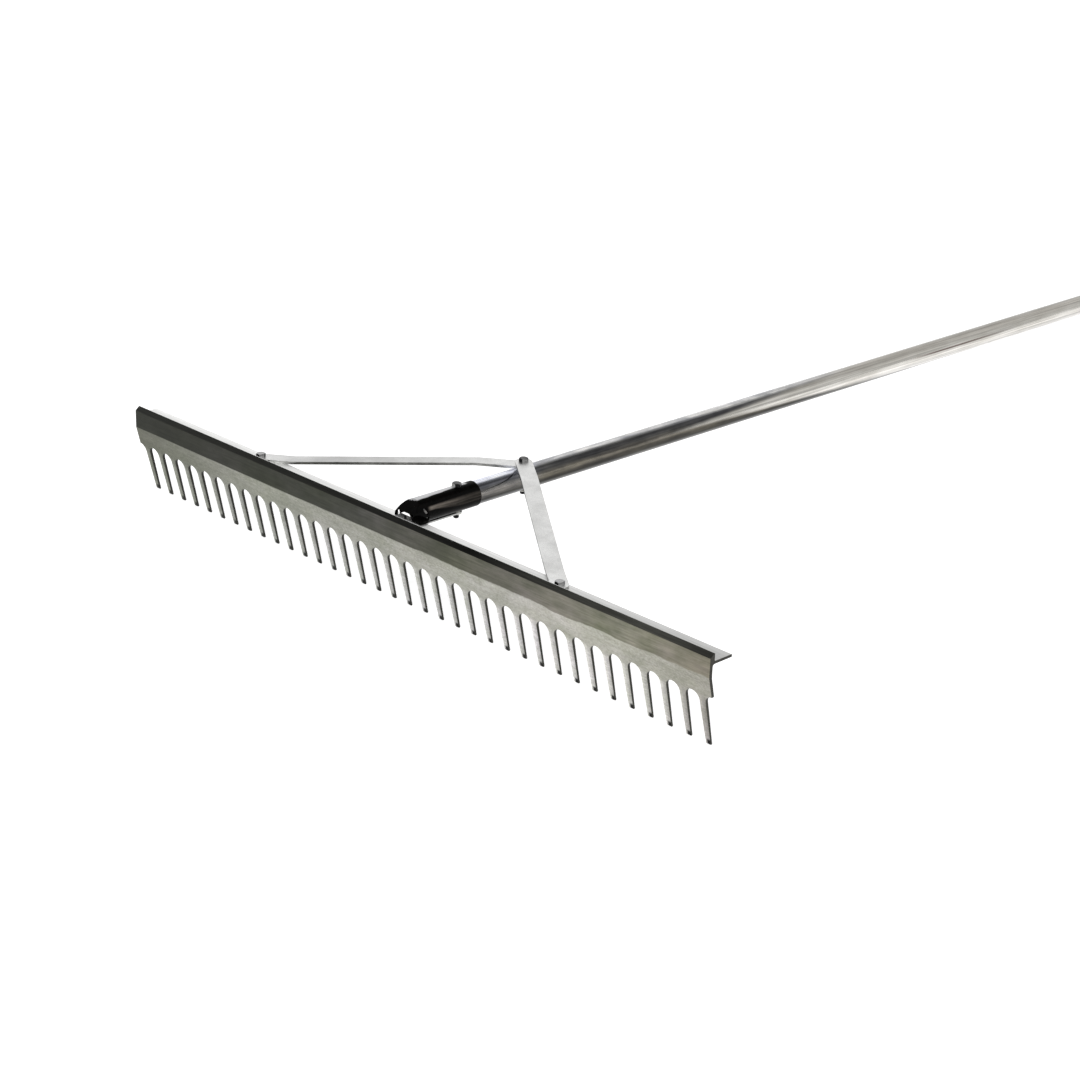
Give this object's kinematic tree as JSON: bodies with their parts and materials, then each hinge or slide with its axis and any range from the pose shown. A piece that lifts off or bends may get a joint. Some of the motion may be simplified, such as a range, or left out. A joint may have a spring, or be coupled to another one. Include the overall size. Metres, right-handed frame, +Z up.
{
  "type": "infield rake",
  "caption": "Wide aluminium rake head with punched teeth and a stiffening flange, on a long tube handle held by a socket bracket and two flat braces.",
  "frame": {"origin": "on the floor that the rake lies on, at the middle of its box: half way along the head and half way along its whole length", "axes": "+Z up, +Y back along the handle towards the grip, +X along the head to the right as seen by someone facing the blade"},
  "size_m": [0.9144, 1.856, 0.1158],
  "materials": {
    "head_aluminium": "mill finish with fine drawing lines along its length",
    "tube_aluminium": "polished drawn tube",
    "brace_aluminium": "fine brushed flat bar",
    "black_paint": "gloss black enamel on pressed steel",
    "dark_steel": "dark zinc plate",
    "zinc_steel": "bright zinc plate",
    "grip_vinyl": "soft matt black vinyl",
    "plug_plastic": "moulded plastic"
  },
  "bodies": {
    "root": {"rake_head": "head_aluminium", "socket_bracket": "black_paint", "socket_strap": "brace_aluminium", "handle_tube": "tube_aluminium", "handle_grip": "grip_vinyl", "tube_plug": "plug_plastic", "left_brace": "brace_aluminium", "right_brace": "brace_aluminium", "apex_bolt": "dark_steel", "apex_insert": "zinc_steel", "socket_bolt": "dark_steel", "socket_insert": "zinc_steel", "strap_bolt": "dark_steel", "strap_washer": "zinc_steel", "strap_spring_washer": "dark_steel", "strap_nut": "zinc_steel", "brace_bolts": "dark_steel", "brace_washers": "zinc_steel", "brace_spring_washers": "dark_steel", "brace_nuts": "zinc_steel"}
  },
  "joints": []
}
